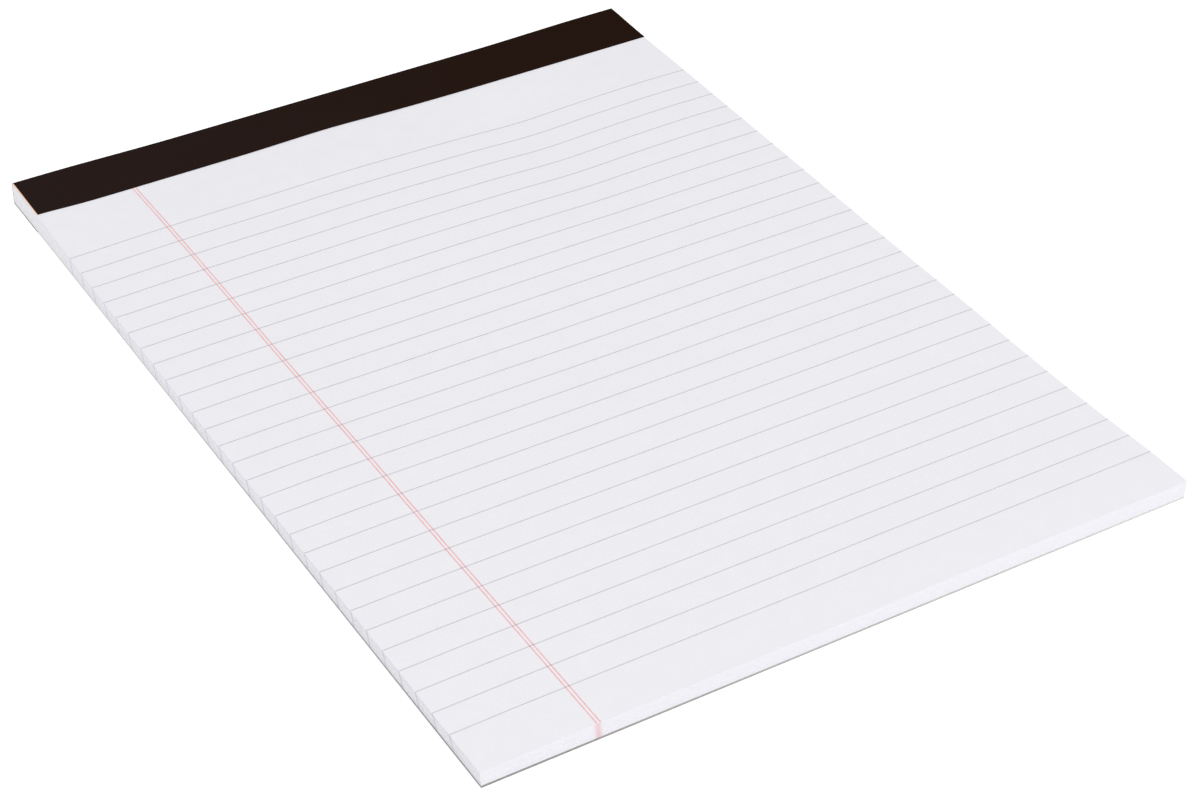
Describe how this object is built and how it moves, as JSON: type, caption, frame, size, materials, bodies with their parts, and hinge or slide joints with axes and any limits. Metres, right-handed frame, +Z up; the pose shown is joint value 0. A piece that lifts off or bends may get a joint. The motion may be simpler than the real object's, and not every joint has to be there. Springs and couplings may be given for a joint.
{
  "type": "legal pad",
  "caption": "Letter-size writing pad: ruled white sheets with a double red margin, stapled to a chipboard back under a black folded binding strip at the head.",
  "frame": {"origin": "middle of the pad on the surface it lies on", "axes": "+Y towards the head with the binding strip, -X towards the side with the margin lines, +Z up through the sheets"},
  "size_m": [0.216, 0.2984, 0.0071],
  "materials": {
    "chipboard": "unbleached grey-brown recycled chipboard",
    "white_paper": "uncoated white writing paper",
    "black_strip_paper": "matt coated brown-black binding paper",
    "staple_wire": "bright drawn stitching wire",
    "blue_ruling_ink": "pale grey-blue ruling ink in the paper",
    "red_margin_ink": "pale red margin ink in the paper"
  },
  "bodies": {
    "root": {"backing_board": "chipboard", "sheet_block": "white_paper", "binding_strip": "black_strip_paper", "staples": "staple_wire", "rule_lines": "blue_ruling_ink", "margin_lines": "red_margin_ink"}
  },
  "joints": []
}
